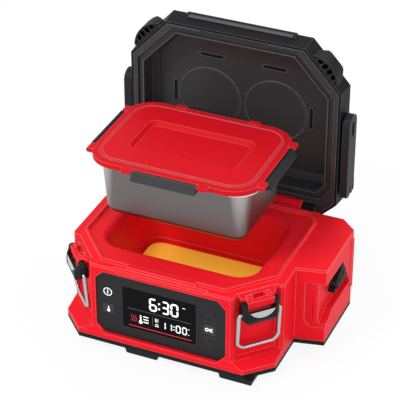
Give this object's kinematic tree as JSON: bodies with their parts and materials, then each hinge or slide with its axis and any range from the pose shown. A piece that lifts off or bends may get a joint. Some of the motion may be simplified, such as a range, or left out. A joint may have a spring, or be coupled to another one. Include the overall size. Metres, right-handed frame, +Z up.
{
  "type": "electric lunch box",
  "caption": "Heated lunch box: octagonal housing with control panel and battery bay, hinged lid with carry handle and draw latches, and a lift-out steel food container",
  "frame": {"origin": "on the ground at the middle of the left front foot's tread", "axes": "+X to the right (the battery bay's side), +Y to the back (the hinge side), +Z up; rest pose with the lid open on its stop and the food container lifted out above the well"},
  "size_m": [0.2952, 0.2517, 0.3099],
  "materials": {
    "red_shell": "moulded red plastic, satin",
    "red_lid": "moulded red plastic, semi-gloss",
    "charcoal_plastic": "moulded charcoal plastic with a fine texture",
    "liner_plastic": "moulded dark grey plastic, satin",
    "pad_plastic": "silver-grey inlay",
    "key_black": "black key cap",
    "key_grey": "grey key cap",
    "display": "glossy black display window",
    "seal_rubber": "soft black rubber",
    "heating_plate": "amber coated plate",
    "container_steel": "brushed stainless steel",
    "machined_steel": "plain steel",
    "bail_wire": "bright steel wire",
    "circuit_board": "green circuit board",
    "insulation": "woven heat-resistant wrap",
    "ceramic": "pale ceramic body"
  },
  "bodies": {
    "housing": {"housing_shell": "red_shell", "well_deck": "red_shell", "heating_plate": "heating_plate", "plate_gasket": "seal_rubber", "heater_element": "machined_steel", "well_insulation": "insulation", "temperature_sensor": "machined_steel", "thermal_fuse": "ceramic", "base_plate": "charcoal_plastic", "control_bezel": "charcoal_plastic", "display_window": "display", "control_board": "circuit_board", "power_board": "circuit_board", "battery_terminal_block": "charcoal_plastic", "battery_contacts": "machined_steel", "hinge_pin": "machined_steel", "lever_pins": "machined_steel", "case_screws": "machined_steel"},
    "lid": {"lid_shell": "charcoal_plastic", "lid_liner": "liner_plastic", "lid_seal": "seal_rubber", "left_keeper": "charcoal_plastic", "right_keeper": "charcoal_plastic", "lid_screws": "machined_steel", "handle_pins": "machined_steel"},
    "carry_handle": {"carry_handle": "charcoal_plastic"},
    "left_lever": {"left_lever": "charcoal_plastic", "left_lever_pad": "pad_plastic"},
    "right_lever": {"right_lever": "charcoal_plastic", "right_lever_pad": "pad_plastic"},
    "left_bail": {"left_bail": "bail_wire"},
    "right_bail": {"right_bail": "bail_wire"},
    "food_container": {"container_tub": "container_steel", "container_lid": "red_lid", "container_gasket": "seal_rubber", "clip_pins": "machined_steel"},
    "front_clip": {"front_clip": "charcoal_plastic"},
    "back_clip": {"back_clip": "charcoal_plastic"},
    "left_clip": {"left_clip": "charcoal_plastic"},
    "right_clip": {"right_clip": "charcoal_plastic"},
    "power_button": {"power_button": "key_black"},
    "temperature_button": {"temperature_button": "key_black"},
    "up_button": {"up_button": "key_grey"},
    "ok_button": {"ok_button": "key_grey"},
    "down_button": {"down_button": "key_grey"}
  },
  "joints": [
    {"name": "lid_hinge", "type": "hinge", "parent": "housing", "child": "lid", "pos_m": [0.022, 0.1891, 0.1063], "axis": [1, 0, 0], "range_deg": [0, 90]},
    {"name": "container_lift", "type": "slide", "parent": "housing", "child": "food_container", "axis": [0.0605, 0, -0.9982], "range_m": [0, 0.09918]},
    {"name": "handle_swing", "type": "hinge", "parent": "lid", "child": "carry_handle", "pos_m": [0.022, 0.2066, 0.2168], "axis": [1, 0, 0], "range_deg": [0, 95]},
    {"name": "left_lever_swing", "type": "hinge", "parent": "housing", "child": "left_lever", "pos_m": [-0.08579, 0.01039, 0.098], "axis": [0.6735, -0.7392, 0], "range_deg": [-100, 0]},
    {"name": "right_lever_swing", "type": "hinge", "parent": "housing", "child": "right_lever", "pos_m": [0.12979, 0.01039, 0.098], "axis": [0.6735, 0.7392, 0], "range_deg": [-100, 0]},
    {"name": "left_bail_swing", "type": "hinge", "parent": "left_lever", "child": "left_bail", "pos_m": [-0.0852, 0.01093, 0.0868], "axis": [-0.6735, 0.7392, 0], "range_deg": [0, 184]},
    {"name": "right_bail_swing", "type": "hinge", "parent": "right_lever", "child": "right_bail", "pos_m": [0.1292, 0.01093, 0.0868], "axis": [-0.6735, -0.7392, 0], "range_deg": [0, 184]},
    {"name": "front_clip_swing", "type": "hinge", "parent": "food_container", "child": "front_clip", "pos_m": [0.016, 0.0188, 0.2167], "axis": [1, 0, 0], "range_deg": [-90, 0]},
    {"name": "back_clip_swing", "type": "hinge", "parent": "food_container", "child": "back_clip", "pos_m": [0.016, 0.1652, 0.2167], "axis": [-1, 0, 0], "range_deg": [-90, 0]},
    {"name": "left_clip_swing", "type": "hinge", "parent": "food_container", "child": "left_clip", "pos_m": [-0.0843, 0.092, 0.2167], "axis": [0, -1, 0], "range_deg": [-90, 0]},
    {"name": "right_clip_swing", "type": "hinge", "parent": "food_container", "child": "right_clip", "pos_m": [0.1163, 0.092, 0.2167], "axis": [0, 1, 0], "range_deg": [-90, 0]},
    {"name": "power_press", "type": "slide", "parent": "housing", "child": "power_button", "axis": [0, 1, 0], "range_m": [0, 0.001], "stiffness_N_per_m": 300},
    {"name": "temperature_press", "type": "slide", "parent": "housing", "child": "temperature_button", "axis": [0, 1, 0], "range_m": [0, 0.001], "stiffness_N_per_m": 300},
    {"name": "up_press", "type": "slide", "parent": "housing", "child": "up_button", "axis": [0, 1, 0], "range_m": [0, 0.001], "stiffness_N_per_m": 300},
    {"name": "ok_press", "type": "slide", "parent": "housing", "child": "ok_button", "axis": [0, 1, 0], "range_m": [0, 0.001], "stiffness_N_per_m": 300},
    {"name": "down_press", "type": "slide", "parent": "housing", "child": "down_button", "axis": [0, 1, 0], "range_m": [0, 0.001], "stiffness_N_per_m": 300}
  ],
  "couplings": [
    {"joint": "container_lift", "follows": "lid_hinge", "m_per_rad": 0.0631}
  ]
}
